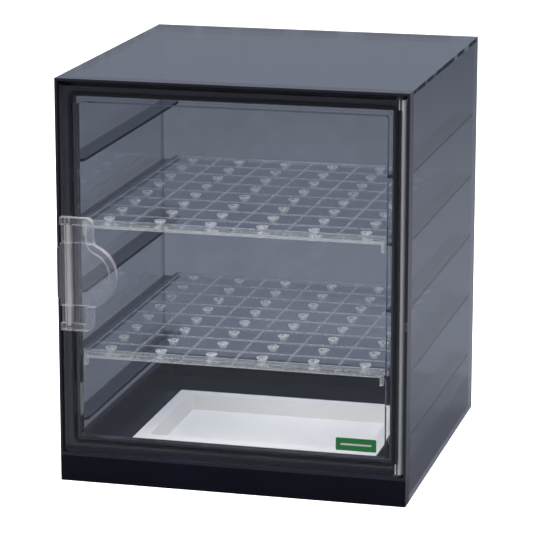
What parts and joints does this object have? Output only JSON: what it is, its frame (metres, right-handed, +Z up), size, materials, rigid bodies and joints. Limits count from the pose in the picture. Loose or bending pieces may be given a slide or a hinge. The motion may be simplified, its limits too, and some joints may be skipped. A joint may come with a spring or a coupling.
{
  "type": "desiccator cabinet",
  "caption": "Bench-top desiccator cabinet: smoke plastic case, clear hinged door with seal and side latch, perforated shelves and a desiccant tray.",
  "frame": {"origin": "centre of the bounding box's bottom face, on the surface the cabinet stands on", "axes": "+Z up, along the cabinet's height; the door faces -Y; +X is to the right as seen from the door's side"},
  "size_m": [0.345, 0.36, 0.4],
  "materials": {
    "smoke_sheet": "clear smoke-grey acrylic sheet, polished",
    "dark_frame": "dark smoke moulding, glossy",
    "black_base": "black moulded plastic, satin gloss",
    "smoke_rail": "smoke-grey bonded strip with dark polished edges",
    "clear_door": "clear moulded plastic",
    "clear_shelf": "clear moulded plastic",
    "clear_latch": "clear moulded plastic",
    "seal_rubber": "soft dark seal",
    "pin_metal": "bright round pin",
    "bush_plastic": "light plastic",
    "white_tray": "white moulded plastic, satin",
    "green_label": "plain printed film, blank"
  },
  "bodies": {
    "case": {"top_panel": "smoke_sheet", "left_side_panel": "smoke_sheet", "right_side_panel": "smoke_sheet", "back_panel": "smoke_sheet", "base_plinth": "black_base", "front_frame": "dark_frame", "shelf_rail_left_1": "smoke_rail", "shelf_rail_right_1": "smoke_rail", "shelf_rail_left_2": "smoke_rail", "shelf_rail_right_2": "smoke_rail", "shelf_rail_left_3": "smoke_rail", "shelf_rail_right_3": "smoke_rail", "shelf_rail_left_4": "smoke_rail", "shelf_rail_right_4": "smoke_rail", "shelf_rail_left_5": "smoke_rail", "shelf_rail_right_5": "smoke_rail", "hinge_pin_upper": "pin_metal", "hinge_pin_lower": "pin_metal", "hinge_bush_upper": "bush_plastic", "hinge_bush_lower": "bush_plastic", "rim_clip": "clear_latch", "latch_keeper": "clear_latch"},
    "door": {"door_panel": "clear_door", "door_gasket": "seal_rubber", "latch_bracket_upper": "clear_latch", "latch_bracket_lower": "clear_latch", "latch_pivot_rod": "pin_metal", "label_plate": "green_label"},
    "latch": {"latch_lever": "clear_latch"},
    "upper_shelf": {"upper_shelf": "clear_shelf"},
    "lower_shelf": {"lower_shelf": "clear_shelf"},
    "tray": {"desiccant_tray": "white_tray"}
  },
  "joints": [
    {"name": "door_hinge", "type": "hinge", "parent": "case", "child": "door", "pos_m": [0.1631, -0.164, 0.2125], "axis": [0, 0, 1], "range_deg": [0, 90]},
    {"name": "latch_turn", "type": "hinge", "parent": "door", "child": "latch", "pos_m": [-0.159, -0.176, 0.21025], "axis": [0, 0, -1], "range_deg": [0, 40]},
    {"name": "upper_shelf_lift", "type": "slide", "parent": "case", "child": "upper_shelf", "axis": [0, 0, 1], "range_m": [0, 0.05]},
    {"name": "lower_shelf_lift", "type": "slide", "parent": "case", "child": "lower_shelf", "axis": [0, 0, 1], "range_m": [0, 0.05]},
    {"name": "tray_lift", "type": "slide", "parent": "case", "child": "tray", "axis": [0, 0, 1], "range_m": [0, 0.06]}
  ]
}
